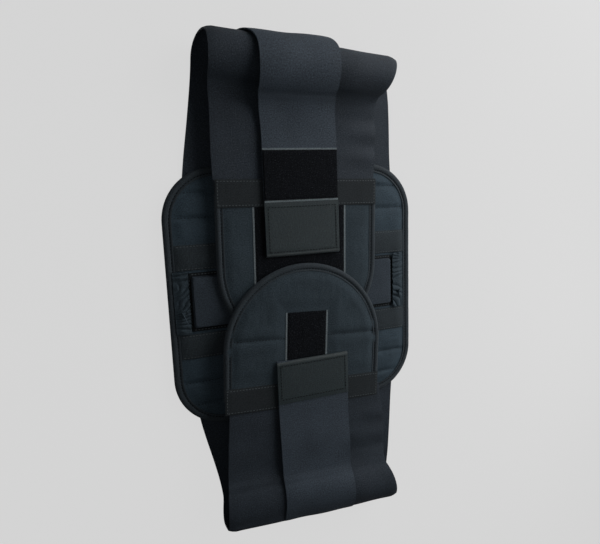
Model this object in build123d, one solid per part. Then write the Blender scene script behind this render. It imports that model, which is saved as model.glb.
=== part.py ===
from build123d import *
import math
import os

# A lumbar support belt lying on its back panel, closed as a flattened loop.
# X is the height of the belt, Y runs along the belt, Z is up from the table.
# +Y is the left side, whose front panel is tucked under the right one.
# All sizes are in millimetres.

# back panel
back_height = 262.0
back_width = 250.0
back_corner = 50.0
outer_back_height = 222.0
fabric_t = 1.0
back_foam_t = 2.6
carrier_t = 2.6
cover_t = 1.2

# edge binding, a folded tape that wraps a sandwich of fabric and foam
binding_w = 12.0
binding_t = 0.8

# stays and the tapes sewn over the two inner ones
stay_w = 12.5
stay_t = 1.2
stay_len = 204.0
stay_clearance = 0.2
inner_stay_y = 42.5
outer_stay_inset = 10.5
stay_tape_w = 25.0

# lumbar pad
pad_height = 216.0
pad_width = 60.0
pad_t = 5.6
pad_crown = 3.0
pad_cover_t = 1.2
gather_t = 2.6
gather_valley = 1.4
gather_pleats = 8

# elastic side bands
elastic_t = 2.0
elastic_lap = 24.0
side_run = 89.5
fold_radius = 20.0
fold_bend = 16.0
left_front_run = 82.0
right_front_run = 81.0

# pull straps
strap_w = 76.0
strap_t = 1.8
tab_len = 52.0
tab_t = 1.0
left_patch_len = 50.0
left_patch_t = 1.2
left_plain_len = 5.0
right_tab_len = 43.5
right_plain_len = 4.0
right_peel_gap = 10.0
strap_to_dome = 8.0

# front panels
front_width = 168.0
front_foam_t = 2.3
left_reach = 57.0
right_reach = 30.0
seam_tape_w = 26.0
seam_tape_t = 1.0
seam_tape_inset = 1.0
loop_t = 1.0
hook_t = 0.8
hook_inset = 3.0
left_loop_w = 97.0
left_loop_len = 112.0
right_loop_w = 45.0
right_loop_len = 71.0
right_hook_len = 75.0

# gaps between faces that part when the belt is opened
panel_gap = 0.6
grip_gap = 0.3

# heights of the stack, from the table up
elastic_low = strap_t
elastic_mid = elastic_low + elastic_t / 2
backing_low = elastic_low + elastic_t
foam_low = backing_low + fabric_t
lining_low = foam_low + back_foam_t
back_top = lining_low + fabric_t
pad_top = back_top + pad_t
left_low = pad_top + panel_gap
front_t = fabric_t + front_foam_t + cover_t
left_top = left_low + front_t
left_loop_top = left_top + loop_t
right_low = left_loop_top + grip_gap + hook_t
right_top = right_low + front_t
right_loop_top = right_top + loop_t

# places along the belt
panel_end = back_width / 2
outer_end = panel_end - elastic_lap
fold_y = panel_end + side_run
fold_z = elastic_mid + fold_radius


def slab(outline, low, high):
    """Lift a flat outline to the given height and give it its thickness."""
    return Pos(0, 0, low) * extrude(outline, amount=high - low)


def block(half_x, y0, y1, low, high):
    """A flat strip centred on X = 0."""
    return slab(Pos(0, (y0 + y1) / 2) * Rectangle(2 * half_x, abs(y1 - y0)), low, high)


def back_outline(inset):
    """The rounded back panel, drawn in by an inset."""
    return RectangleRounded(back_height - 2 * inset, back_width - 2 * inset, back_corner - inset)


def dome_outline(tip, seam, inset):
    """A front panel: straight sides from the seam, then a half round end."""
    r = front_width / 2 - inset
    centre = tip + front_width / 2
    sides = [Line((r, seam), (r, centre)), Line((-r, centre), (-r, seam))]
    ends = [CenterArc((0, centre), r, 0, -180), Line((-r, seam), (r, seam))]
    return make_face(sides + ends)


def bound_panel(outline, low, skin_below, skin_above, high):
    """Two skins and a foam, pinched into a folded binding at the rim."""
    web = outline(binding_t)
    inner = outline(binding_w)
    shell = slab(outline(0), low, high) - slab(inner, low, high)
    binding = shell - slab(web, low + binding_t, high - binding_t)
    below = slab(inner, low, low + binding_t) + slab(web, low + binding_t, low + skin_below)
    above = slab(web, high - skin_above, high - binding_t) + slab(inner, high - binding_t, high)
    foam = slab(web, low + skin_below, high - skin_above)
    return below, foam, above, binding


def trapezoid(half0, y0, half1, y1):
    """Plan of a tapering strip."""
    return make_face(Polyline((half0, y0), (half1, y1), (-half1, y1), (-half0, y0), close=True))


def bend_angle(radius, bend, end_z):
    """How far past its top a fold turns before it bends back to level."""
    return math.acos((bend + end_z - fold_z) / (radius + bend))


def fold_end(radius, bend, end_z):
    """Where the fold meets the level front run."""
    return fold_y - (radius + bend) * math.sin(bend_angle(radius, bend, end_z))


def fold_line(radius, bend, end_z):
    """The two tangent arcs of a fold, in the plane of Y and Z."""
    turn = math.degrees(bend_angle(radius, bend, end_z))
    y = fold_end(radius, bend, end_z)
    over = CenterArc((fold_y, fold_z), radius, -90, 180 + turn)
    back = CenterArc((y, end_z + bend), bend, turn - 90, -turn)
    return over, back


def fold_solid(radius, bend, end_z, thickness, half):
    """A band folded back over itself, wide enough to be trimmed to its taper."""
    t = thickness / 2
    outer = fold_line(radius + t, bend - t, end_z + t)
    inner = fold_line(radius - t, bend + t, end_z - t)
    caps = [Line(outer[0] @ 0, inner[0] @ 0), Line(outer[1] @ 1, inner[1] @ 1)]
    section = make_face([*outer, *inner, *caps])
    return extrude(Plane.YZ * section, amount=half, both=True)


def elastic_band(side, front_run, front_z):
    """One side elastic, sewn to the back, folded over and sewn to the front panel."""
    end = fold_end(fold_radius, fold_bend, front_z)
    seam = end - front_run
    arc = fold_radius * math.pi / 2
    turn = bend_angle(fold_radius, fold_bend, front_z)
    folded = fold_radius * (math.pi + turn) + fold_bend * turn
    rear_run = fold_y - outer_end
    whole = rear_run + folded + front_run
    wide = outer_back_height / 2
    narrow = front_width / 2 - seam_tape_inset

    def half(run):
        return wide + (narrow - wide) * run / whole

    tip = fold_y + fold_radius + elastic_t
    rear = slab(trapezoid(wide, outer_end, half(rear_run), fold_y), elastic_low, backing_low)
    front = slab(
        trapezoid(half(rear_run + folded), end, narrow, seam),
        front_z - elastic_t / 2,
        front_z + elastic_t / 2,
    )
    loop = fold_solid(fold_radius, fold_bend, front_z, elastic_t, wide)
    # the first quarter of the turn is wider than what comes back over it
    under = trapezoid(half(rear_run), fold_y, half(rear_run + arc), tip)
    over = trapezoid(half(rear_run + folded), end, half(rear_run + arc), tip)
    fold = (loop & slab(under, 0, fold_z)) + (loop & slab(over, 0, 2 * fold_z))
    return {
        f"{side}_side_elastic_rear": rear,
        f"{side}_side_elastic_fold": fold,
        f"{side}_side_elastic_front": front,
    }, seam


def pull_strap(side, front_low, peel):
    """One pull strap, from the back panel's seam round the fold to the peel line."""
    mid = front_low + strap_t / 2
    radius = fold_radius + (elastic_t + strap_t) / 2
    bend = fold_bend - (elastic_t + strap_t) / 2
    end = fold_end(radius, bend, mid)
    half = strap_w / 2
    return {
        f"{side}_pull_strap_rear": block(half, outer_end, fold_y, 0, strap_t),
        f"{side}_pull_strap_fold": fold_solid(radius, bend, mid, strap_t, half),
        f"{side}_pull_strap_front": block(half, peel, end, front_low, front_low + strap_t),
    }


def strap_end(side, low, tip, tab, length):
    """The end of a pull strap that peels off: webbing, tab above and hook patch below."""
    half = strap_w / 2
    top = low + strap_t
    hook = block(half - hook_inset, tip + hook_inset, tip + tab - hook_inset, low - hook_t, low)
    # the tab is folded down over the cut end of the webbing
    tab_over = block(half, tip, tip + tab, top, top + tab_t) + block(half, tip, tip + tab_t, low, top)
    return {
        f"{side}_strap_end": block(half, tip + tab_t, tip + length, low, top),
        f"{side}_pull_tab": tab_over,
        f"{side}_strap_hook_patch": hook,
    }


def front_panel(side, tip, seam, low, loop_w, loop_len):
    """One front panel with its binding, the tape over its seam and its loop patch."""
    high = low + front_t

    def outline(inset):
        return dome_outline(tip, seam, inset)

    lining, foam, cover, binding = bound_panel(outline, low, fabric_t, cover_t, high)
    half_tape = seam_tape_w / 2
    tape_low = seam - half_tape
    tape = block(front_width / 2 - seam_tape_inset, tape_low, seam + half_tape, high, high + seam_tape_t)
    loop = block(loop_w / 2, tape_low - loop_len, tape_low, high, high + loop_t)
    return {
        f"{side}_front_lining": lining,
        f"{side}_front_foam": foam,
        f"{side}_front_cover": cover,
        f"{side}_front_binding": binding,
        f"{side}_seam_tape": tape,
        f"{side}_front_loop_patch": loop,
    }


def gathered_strip(x0, x1):
    """Fabric drawn up into pleats between the pad's end and the binding."""
    half = pad_width / 2
    pitch = pad_width / gather_pleats
    valley = back_top + gather_valley
    crest = back_top + gather_t
    pleats = []
    for k in range(gather_pleats):
        y = -half + k * pitch
        pleats.append(ThreePointArc((y, valley), (y + pitch / 2, crest), (y + pitch, valley)))
    base = Polyline((half, valley), (half, back_top), (-half, back_top), (-half, valley))
    return Pos(x0) * extrude(Plane.YZ * make_face(pleats + [base]), amount=x1 - x0)


def back_pieces():
    """The back panel from the table up: outer cover, stays, bound inner panel, tapes and pad."""
    half = outer_back_height / 2
    cover = block(half, -outer_end, outer_end, 0, cover_t)
    carrier = block(half, -outer_end, outer_end, cover_t, backing_low)
    pieces = {"back_outer_cover": cover}
    stay_low = cover_t + (carrier_t - stay_t) / 2
    stay_plan = SlotOverall(stay_len, stay_w)
    pocket_end = stay_len / 2 + stay_clearance
    pocket = Box(pocket_end + half, stay_w + 2 * stay_clearance, stay_t + 2 * stay_clearance)
    places = {
        "left_outer_stay": outer_end - outer_stay_inset,
        "left_inner_stay": inner_stay_y,
        "right_inner_stay": -inner_stay_y,
        "right_outer_stay": outer_stay_inset - outer_end,
    }
    for name, y in places.items():
        pieces[name] = Pos(0, y) * slab(stay_plan, stay_low, stay_low + stay_t)
        carrier -= Pos((half - pocket_end) / 2, y, stay_low + stay_t / 2) * pocket
    pieces["stay_carrier"] = carrier

    backing, foam, lining, binding = bound_panel(
        back_outline, backing_low, fabric_t, fabric_t, back_top
    )
    pieces["back_backing"] = backing
    pieces["back_foam"] = foam
    pieces["back_lining"] = lining
    pieces["back_binding"] = binding

    reach = back_height / 2 - binding_w
    pad_half = pad_width / 2
    for side, way in (("left", 1), ("right", -1)):
        tape = block(reach, pad_half, pad_half + stay_tape_w, back_top, back_top + fabric_t)
        pieces[f"{side}_stay_tape"] = tape if way > 0 else mirror(tape, about=Plane.XZ)

    outside = block(pad_height / 2, -pad_half, pad_half, back_top, pad_top)
    outside = fillet(outside.edges().group_by(Axis.Z)[-1], pad_crown)
    core = block(
        pad_height / 2 - pad_cover_t,
        pad_cover_t - pad_half,
        pad_half - pad_cover_t,
        back_top,
        pad_top - pad_cover_t,
    )
    core = fillet(core.edges().group_by(Axis.Z)[-1], pad_crown - pad_cover_t)
    pieces["lumbar_pad_cover"] = outside - core
    pieces["lumbar_pad_foam"] = core
    gather = gathered_strip(pad_height / 2, reach)
    pieces["lumbar_pad_gathers"] = Compound([gather, mirror(gather, about=Plane.YZ)])
    return pieces


def flipped(pieces):
    """The same pieces on the right side of the belt."""
    return {name: mirror(solid, about=Plane.XZ) for name, solid in pieces.items()}


# left side, tucked under: seam, front panel, strap and the strap's peeling end
left_strap_low = left_loop_top + grip_gap + hook_t
left_elastic, left_seam = elastic_band("left", left_front_run, left_top - elastic_t / 2)
left_tip = right_reach + strap_to_dome
left_end_len = tab_len + left_patch_len + left_plain_len
left_peel = left_tip + left_end_len
left_panel = front_panel("left", -left_reach, left_seam, left_low, left_loop_w, left_loop_len)
left_end = strap_end("left", left_strap_low, left_tip, tab_len, left_end_len)
left_end["left_strap_loop_patch"] = block(
    strap_w / 2,
    left_tip + tab_len,
    left_tip + tab_len + left_patch_len,
    left_strap_low + strap_t,
    left_strap_low + strap_t + left_patch_t,
)
left_strap = pull_strap("left", left_strap_low, left_peel)

# right side, on top, worked out as if it were a left one and then mirrored
right_strap_low = right_loop_top + grip_gap + hook_t
right_elastic, right_seam = elastic_band("right", right_front_run, right_top - elastic_t / 2)
right_panel = front_panel("right", -right_reach, right_seam, right_low, right_loop_w, right_loop_len)
right_peel = right_seam + right_peel_gap
right_tip = right_peel - right_tab_len - right_plain_len
right_end = strap_end("right", right_strap_low, right_tip, right_tab_len, right_peel - right_tip)
right_strap = pull_strap("right", right_strap_low, right_peel)
hook_zone = dome_outline(-right_reach, right_seam, binding_w) & Pos(
    0, right_hook_len / 2 - right_reach
) * Rectangle(front_width, right_hook_len)
right_panel["right_front_hook_patch"] = slab(hook_zone, right_low - hook_t, right_low)

parts = back_pieces()
parts.update(left_elastic)
parts.update(left_strap)
parts.update(left_panel)
parts.update(left_end)
for group in (right_elastic, right_strap, right_panel, right_end):
    parts.update(flipped(group))

os.makedirs("parts", exist_ok=True)
for name, solid in parts.items():
    export_step(solid, f"parts/{name}.step")

# the axes that the pieces turn about
turn = bend_angle(fold_radius, fold_bend, right_top - elastic_t / 2)
unrolled = fold_radius * (math.pi + turn) + fold_bend * turn
right_front_end = right_seam + right_front_run
print("left flap turns about y", round(fold_y, 3), "z", round(fold_z, 3))
hinge_y = -(right_front_end + fold_y + unrolled) / 2
hinge_z = (right_top - elastic_t / 2 + elastic_mid) / 2
print("right flap turns about y", round(hinge_y, 3), "z", round(hinge_z, 3))
print("left strap end peels at y", round(left_peel, 3), "z", round(left_strap_low + strap_t, 3))
print("right strap end peels at y", round(-right_peel, 3), "z", round(right_strap_low + strap_t, 3))
print("left seam", round(left_seam, 3), "right seam", round(-right_seam, 3))
print("back top", round(back_top, 3), "pad top", round(pad_top, 3))
print("left panel", round(left_low, 3), round(left_top, 3))
print("right panel", round(right_low, 3), round(right_top, 3))
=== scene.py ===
import math

import bmesh
import bpy
from mathutils import Matrix, Vector, noise


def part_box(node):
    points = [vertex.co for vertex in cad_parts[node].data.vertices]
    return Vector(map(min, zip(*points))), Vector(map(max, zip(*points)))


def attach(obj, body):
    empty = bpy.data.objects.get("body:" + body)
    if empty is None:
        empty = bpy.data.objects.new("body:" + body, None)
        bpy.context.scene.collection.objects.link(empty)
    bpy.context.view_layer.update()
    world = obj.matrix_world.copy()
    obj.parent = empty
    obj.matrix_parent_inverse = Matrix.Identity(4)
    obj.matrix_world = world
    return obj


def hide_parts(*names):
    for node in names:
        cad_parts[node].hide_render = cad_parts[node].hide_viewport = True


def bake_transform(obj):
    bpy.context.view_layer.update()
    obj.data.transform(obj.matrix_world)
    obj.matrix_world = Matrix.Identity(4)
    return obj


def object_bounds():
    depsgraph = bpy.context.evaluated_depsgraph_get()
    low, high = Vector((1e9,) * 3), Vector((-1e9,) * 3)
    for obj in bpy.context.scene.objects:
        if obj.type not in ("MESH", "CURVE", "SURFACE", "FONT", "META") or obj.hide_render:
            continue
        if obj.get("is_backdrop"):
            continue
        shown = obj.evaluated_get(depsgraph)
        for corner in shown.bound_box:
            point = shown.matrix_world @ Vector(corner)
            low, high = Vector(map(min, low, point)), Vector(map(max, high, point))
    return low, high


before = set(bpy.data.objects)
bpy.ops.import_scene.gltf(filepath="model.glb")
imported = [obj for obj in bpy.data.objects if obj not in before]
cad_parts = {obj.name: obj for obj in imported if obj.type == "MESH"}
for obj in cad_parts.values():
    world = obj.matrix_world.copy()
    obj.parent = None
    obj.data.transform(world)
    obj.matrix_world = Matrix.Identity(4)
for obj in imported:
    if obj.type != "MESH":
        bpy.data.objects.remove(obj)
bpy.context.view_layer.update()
mm = 0.001
print("frame loaded")


# small helpers, with all lengths in millimetres
def nodeBox(node):
    low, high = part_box(node)
    return low / mm, high / mm


def smooth(value, start, end):
    t = min(1.0, max(0.0, (value - start) / (end - start)))
    return t * t * (3 - 2 * t)


def bump(value, middle, reach):
    return math.exp(-(((value - middle) / reach) ** 2))


def ripple(x, y, size, seed=0.0):
    return noise.noise(Vector((x / size, y / size, seed)))


def setMaterials(piece, *materials):
    piece.data.materials.clear()
    for material in materials:
        piece.data.materials.append(material)


def selectOnly(piece):
    bpy.ops.object.select_all(action="DESELECT")
    piece.select_set(True)
    bpy.context.view_layer.objects.active = piece


def applyModifiers(piece):
    selectOnly(piece)
    for modifier in list(piece.modifiers):
        bpy.ops.object.modifier_apply(modifier=modifier.name)


def smoothShade(piece, degrees):
    selectOnly(piece)
    bpy.ops.object.shade_smooth_by_angle(angle=math.radians(degrees))


def gridPiece(name, columns, rows, place):
    # a flat grid whose points are laid out by place(u, v) -> (point, cloth coordinates)
    bpy.ops.object.select_all(action="DESELECT")
    bpy.ops.mesh.primitive_grid_add(x_subdivisions=columns, y_subdivisions=rows, size=1)
    piece = bpy.context.object
    piece.name = piece.data.name = name
    mesh = piece.data
    cloth = []
    for vertex in mesh.vertices:
        point, where = place(vertex.co.x + 0.5, vertex.co.y + 0.5)
        vertex.co = Vector(point) * mm
        cloth.append((where[0] * mm, where[1] * mm))
    for loop in mesh.loops:
        mesh.uv_layers[0].data[loop.index].uv = cloth[loop.vertex_index]
    mesh.update()
    return piece


def cutAway(piece, keep):
    # takes out the faces whose middles keep(x, y) turns down
    mesh = bmesh.new()
    mesh.from_mesh(piece.data)
    outside = [f for f in mesh.faces if not keep(*(f.calc_center_median().xy / mm))]
    bmesh.ops.delete(mesh, geom=outside, context="FACES")
    mesh.to_mesh(piece.data)
    mesh.free()


def thicken(piece, depth, offset=-1):
    skin = piece.modifiers.new("thickness", "SOLIDIFY")
    skin.thickness = depth * mm
    skin.offset = offset
    skin.use_even_offset = True
    applyModifiers(piece)
    return piece


def paddedShell(name, halfX, y0, y1, cell, inside, top, bottom):
    # both faces of a sandwich over one outline, closed round the rim
    columns = round(2 * halfX / cell)
    rows = round((y1 - y0) / cell)

    def flat(u, v):
        x, y = (2 * u - 1) * halfX, y0 + v * (y1 - y0)
        return (x, y, 0), (x, y)

    piece = gridPiece(name, columns, rows, flat)
    mesh = bmesh.new()
    mesh.from_mesh(piece.data)
    outside = [f for f in mesh.faces if not inside(*(f.calc_center_median().xy / mm))]
    bmesh.ops.delete(mesh, geom=outside, context="FACES")
    upper = bmesh.ops.extrude_face_region(mesh, geom=mesh.faces[:], use_keep_orig=True)
    lifted = {g for g in upper["geom"] if isinstance(g, bmesh.types.BMVert)}
    for vertex in mesh.verts:
        x, y = vertex.co.x / mm, vertex.co.y / mm
        vertex.co.z = (top(x, y) if vertex in lifted else bottom(x, y)) * mm
    bmesh.ops.recalc_face_normals(mesh, faces=mesh.faces)
    mesh.to_mesh(piece.data)
    mesh.free()
    smoothShade(piece, 60)
    return piece


def turnOver(piece, degrees, centre, shiftX):
    # turns a finished piece about an upright line through centre, then slides it along X
    about = Matrix.Translation(Vector(centre) * mm)
    slide = Matrix.Translation((shiftX * mm, 0, 0))
    piece.data.transform(slide @ about @ Matrix.Rotation(math.radians(degrees), 4, "Z") @ about.inverted())


def finish(piece, material, slot, body, *nodes):
    # gives a fixed piece its cloth and its body, and hides the nodes that it stands in for
    setMaterials(piece, material)
    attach(piece, body)
    if nodes:
        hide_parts(*nodes)


# cloths, threads and steel
def newMaterial(name, roughness, specular=0.35):
    material = bpy.data.materials.new(name)
    material.use_nodes = True
    shader = material.node_tree.nodes["Principled BSDF"]
    shader.inputs["Roughness"].default_value = roughness
    shader.inputs["Specular IOR Level"].default_value = specular
    return material, material.node_tree.nodes, material.node_tree.links, shader


def mathNode(nodes, links, operation, first, second):
    node = nodes.new("ShaderNodeMath")
    node.operation = operation
    for socket, value in zip(node.inputs, (first, second)):
        if isinstance(value, (int, float)):
            socket.default_value = value
        else:
            links.new(value, socket)
    return node.outputs[0]


def noiseNode(nodes, links, vector, scale, detail=2.0, roughness=0.5):
    node = nodes.new("ShaderNodeTexNoise")
    for socket, value in (("Scale", scale), ("Detail", detail), ("Roughness", roughness)):
        node.inputs[socket].default_value = value
    links.new(vector, node.inputs["Vector"])
    return node.outputs["Fac"]


def rampNode(nodes, links, value, stops):
    # stops are two (place, colour) pairs
    ramp = nodes.new("ShaderNodeValToRGB")
    for element, (place, colour) in zip(ramp.color_ramp.elements, stops):
        element.position = place
        element.color = (*colour, 1)
    links.new(value, ramp.inputs["Fac"])
    return ramp.outputs["Color"]


def aroundOne(nodes, links, value, amount):
    # turns a value between 0 and 1 into a factor that swings about 1
    doubled = mathNode(nodes, links, "MULTIPLY", value, amount * 2)
    return mathNode(nodes, links, "ADD", doubled, 1.0 - amount)


# what every cloth shares; a noise is its scale, its detail and, where it is unusual, its roughness
weave = {
    "ribScale": 0.314,  # a wave texture's scale for ribs a millimetre apart
    "ribBend": 0.6,
    "fuzz": (0.9, 4.0, 0.75),
    "grain": (0.85, 1.0),
    "mottle": (0.035, 4.0),
    "reliefStrength": 0.9,
    "fleckNoise": (2.0, 0.8),  # only its detail and roughness
    "fleckStops": (0.56, 0.72),
}


def fabric(name, colour, roughness, ribs, ribDepth=0.5, fuzz=0.4, fleck=None, fleckSize=1.2,
           mottle=0.25, relief=0.48, specular=0.18, valleyShade=0.4, grain=0.8):
    # woven or knitted cloth: ribs across and along it, fuzz, grain, flecks and a slow mottle, with the colour
    # darkened in the rib valleys as painted shade
    material, nodes, links, shader = newMaterial(name, roughness, specular)
    cloth = nodes.new("ShaderNodeUVMap")
    scaled = nodes.new("ShaderNodeMapping")
    scaled.inputs["Scale"].default_value = (1000, 1000, 1000)  # from metres to millimetres
    links.new(cloth.outputs["UV"], scaled.inputs["Vector"])
    place = scaled.outputs[0]
    heights = []
    for direction, pitch in zip("XY", ribs):
        rib = nodes.new("ShaderNodeTexWave")
        rib.wave_type = "BANDS"
        rib.bands_direction = direction
        rib.inputs["Scale"].default_value = weave["ribScale"] / pitch
        rib.inputs["Distortion"].default_value = weave["ribBend"]
        rib.inputs["Detail"].default_value = 1.0
        links.new(place, rib.inputs["Vector"])
        heights.append(rib.outputs["Fac"])
    ribbed = mathNode(nodes, links, "MULTIPLY", heights[0], heights[1])
    ribbed = mathNode(nodes, links, "MULTIPLY", ribbed, ribDepth)
    fine = noiseNode(nodes, links, place, *weave["fuzz"])
    height = mathNode(nodes, links, "ADD", ribbed, mathNode(nodes, links, "MULTIPLY", fine, fuzz))
    raised = nodes.new("ShaderNodeBump")
    raised.inputs["Strength"].default_value = weave["reliefStrength"]
    raised.inputs["Distance"].default_value = relief * mm
    links.new(height, raised.inputs["Height"])
    links.new(raised.outputs[0], shader.inputs["Normal"])
    # painted shade: the colour is darker where the ribs and fuzz are low
    shade = aroundOne(nodes, links, height, valleyShade)
    for kind, amount in (("mottle", mottle), ("grain", grain)):
        cloudy = noiseNode(nodes, links, place, *weave[kind])
        shade = mathNode(nodes, links, "MULTIPLY", shade, aroundOne(nodes, links, cloudy, amount))
    tint = nodes.new("ShaderNodeMix")
    tint.data_type = "RGBA"
    tint.blend_type = "MULTIPLY"
    tint.inputs["Factor"].default_value = 1.0
    tint.inputs["A"].default_value = (*colour, 1)
    links.new(shade, tint.inputs["B"])
    output = tint.outputs["Result"]
    if fleck:
        specks = noiseNode(nodes, links, place, 1.0 / fleckSize, *weave["fleckNoise"])
        shown = rampNode(nodes, links, specks, zip(weave["fleckStops"], ((0, 0, 0), (1, 1, 1))))
        specked = nodes.new("ShaderNodeMix")
        specked.data_type = "RGBA"
        specked.inputs["B"].default_value = (*fleck, 1)
        links.new(shown, specked.inputs["Factor"])
        links.new(output, specked.inputs["A"])
        output = specked.outputs["Result"]
    links.new(output, shader.inputs["Base Color"])
    return material


cloths = {
    "lining": fabric("smooth knit lining", (0.0280, 0.0455, 0.0605), 0.75, (0.7, 0.7), ribDepth=0.3,
                     mottle=0.2),
    "face": fabric("brushed face cloth", (0.0262, 0.0392, 0.0495), 0.85, (0.7, 0.7), ribDepth=0.3),
    "outer": fabric("outer nylon cloth", (0.024, 0.031, 0.039), 0.6, (0.7, 0.7), mottle=0.12),
    "tape": fabric("woven cotton tape", (0.0238, 0.0315, 0.0372), 0.85, (1.1, 0.7), mottle=0.2),
    "seamTape": fabric("seam tape", (0.0168, 0.0212, 0.0243), 0.85, (1.1, 0.7), mottle=0.2),
    "binding": fabric("edge binding", (0.0255, 0.0335, 0.0405), 0.75, (0.6, 0.8), ribDepth=0.3, mottle=0.2),
    "elastic": fabric("ribbed elastic", (0.0196, 0.0268, 0.0362), 0.7, (0.62, 0.5), ribDepth=0.35,
                      mottle=0.3, fleck=(0.048, 0.061, 0.077), fleckSize=1.1, grain=1.0),
    "strap": fabric("pull strap elastic", (0.035, 0.047, 0.062), 0.7, (0.55, 0.5), ribDepth=0.3,
                    fleck=(0.065, 0.082, 0.105), fleckSize=1.1, grain=0.9),
    "tab": fabric("satin tab webbing", (0.0146, 0.0246, 0.0282), 0.5, (0.8, 0.5), ribDepth=0.4,
                  mottle=0.15, specular=0.25, fleck=(0.036, 0.047, 0.049), grain=1.0),
    "pile": fabric("loop pile", (0.0034, 0.0044, 0.0060), 0.95, (1.3, 1.3), ribDepth=0.2, fuzz=1.0,
                   mottle=0.3, fleck=(0.032, 0.034, 0.040), relief=2.0, specular=0.08, valleyShade=0.5),
    "selvedge": fabric("woven selvedge", (0.10, 0.12, 0.13), 0.9, (0.9, 0.9), fuzz=0.9,
                       fleck=(0.20, 0.23, 0.24), fleckSize=0.8),
    # a lighter copy of the satin for the folded tip: a painted highlight
    "tabEdgeHighlight": fabric("tab edge painted highlight", (0.028, 0.038, 0.041), 0.5, (0.8, 0.5), ribDepth=0.4, specular=0.3),
    # near black: painted shadow in the gap round the pad
    "slot": fabric("pad gap painted shadow", (0.0065, 0.0085, 0.0105), 0.9, (0.9, 0.9)),
    "hook": fabric("moulded hook tape", (0.008, 0.009, 0.011), 0.6, (1.0, 1.0), specular=0.12),
    "pad": fabric("pad cover knit", (0.030, 0.040, 0.052), 0.85, (0.7, 0.6), ribDepth=0.3, mottle=0.2),
}


def plainThread(name, colour):
    material, nodes, links, shader = newMaterial(name, 0.7, 0.12)
    place = nodes.new("ShaderNodeTexCoord")
    twist = noiseNode(nodes, links, place.outputs["Object"], 900)
    dark, light = [c * 0.7 for c in colour], [c * 1.3 for c in colour]
    links.new(rampNode(nodes, links, twist, ((0, dark), (1, light))), shader.inputs["Base Color"])
    return material


lightThread = plainThread("light thread", (0.062, 0.072, 0.077))
# near black: partly the thread's own dark colour, partly painted shade of the stitched grooves
darkThreadAndGrooveShade = plainThread("dark thread with painted groove shade", (0.0035, 0.0042, 0.0050))


def springSteel():
    material, nodes, links, shader = newMaterial("spring steel", 0.35)
    shader.inputs["Metallic"].default_value = 1.0
    place = nodes.new("ShaderNodeTexCoord")
    stretched = nodes.new("ShaderNodeMapping")
    stretched.inputs["Scale"].default_value = (0.05, 1, 1)
    links.new(place.outputs["Object"], stretched.inputs["Vector"])
    brushed = noiseNode(nodes, links, stretched.outputs[0], 400)
    shade = rampNode(nodes, links, brushed, ((0, (0.42, 0.43, 0.45)), (1, (0.60, 0.61, 0.62))))
    links.new(shade, shader.inputs["Base Color"])
    return material


steel = springSteel()
for node in ("left_outer_stay", "left_inner_stay", "right_inner_stay", "right_outer_stay"):
    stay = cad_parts[node]
    for slot in stay.material_slots:
        slot.material = steel
    if not stay.material_slots:
        stay.data.materials.append(steel)
print("materials made")


# stitches are one small bead of thread, copied along each line
stitch = {"pitch": 3.1, "length": 2.1, "width": 0.8, "height": 0.6}


def threadBead():
    bpy.ops.object.select_all(action="DESELECT")
    bpy.ops.mesh.primitive_uv_sphere_add(segments=6, ring_count=4, radius=0.5)
    bead = bpy.context.object
    bead.data.transform(Matrix.Rotation(math.radians(90), 4, "X"))
    bead.data.transform(Matrix.Diagonal((stitch["width"], stitch["length"], stitch["height"], 1)))
    return bead


def alongLine(points, pitch):
    # evenly spaced places and directions along a run of points
    places = []
    spare = pitch / 2
    for a, b in zip(points, points[1:]):
        a, b = Vector(a), Vector(b)
        length = (b - a).length
        if length < 1e-6:
            continue
        while spare < length:
            places.append((a.lerp(b, spare / length), (b - a).normalized()))
            spare += pitch
        spare -= length
    return places


def stitchPiece(name, lines, surface, body, thread, slot, facing=1, turn=None):
    bead = threadBead()
    shape = bmesh.new()
    for line in lines:
        for place, along in alongLine(line, stitch["pitch"]):
            x, y = place
            z = surface(x, y)
            ahead = surface(x + along.x, y + along.y)
            run = Vector((along.x, along.y, ahead - z)).normalized()
            up = Vector((0, 0, facing))
            side = run.cross(up).normalized()
            up = side.cross(run)
            basis = Matrix((side, run, up)).transposed().to_4x4()
            move = Matrix.Scale(mm, 4) @ Matrix.Translation((x, y, z)) @ basis
            before = len(shape.verts)
            shape.from_mesh(bead.data)
            shape.verts.ensure_lookup_table()
            bmesh.ops.transform(shape, matrix=move, verts=shape.verts[before:])
    bpy.data.objects.remove(bead)
    mesh = bpy.data.meshes.new(name)
    shape.to_mesh(mesh)
    shape.free()
    piece = bpy.data.objects.new(name, mesh)
    bpy.context.collection.objects.link(piece)
    mesh.shade_smooth()
    if turn:
        turnOver(piece, *turn)
    finish(piece, thread, slot, body)


def above(surface, lift=0.1):
    return lambda x, y: surface(x, y) + lift


def rectangleLine(x0, x1, y0, y1):
    return [(x0, y0), (x1, y0), (x1, y1), (x0, y1), (x0, y0)]


# back panel
back = {
    "cell": 1.5,
    "corner": 50.0,
    "hiddenRim": 3.5,  # left out under the binding
    "rimDrop": 0.9,
    "rimRise": (6, 16),
    "channels": (30.0, 55.0, 79.0, 102.0),
    "lastSeam": 10.0,  # in from the end
    "puff": 1.3,
    "puffRise": (8, 20),
    "groove": 1.3,
    "grooveReach": 1.9,
    "tucks": 0.5,  # small folds beside the grooves
    "waves": ((0.35, 1, 14, 1.0), (0.25, 3, 9, 2.0)),  # height, stretch along Y, size and seed
    "bindingWidth": 8.4,
    "bindingStitch": 6.0,
    "bindingSink": 0.5,  # leaves room for the roll of the tape
    "bindingRoll": 0.5,
}
backLow, backHigh = nodeBox("back_binding")
liningHigh = backHigh.z
padLow, padHigh = nodeBox("lumbar_pad_cover")


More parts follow.
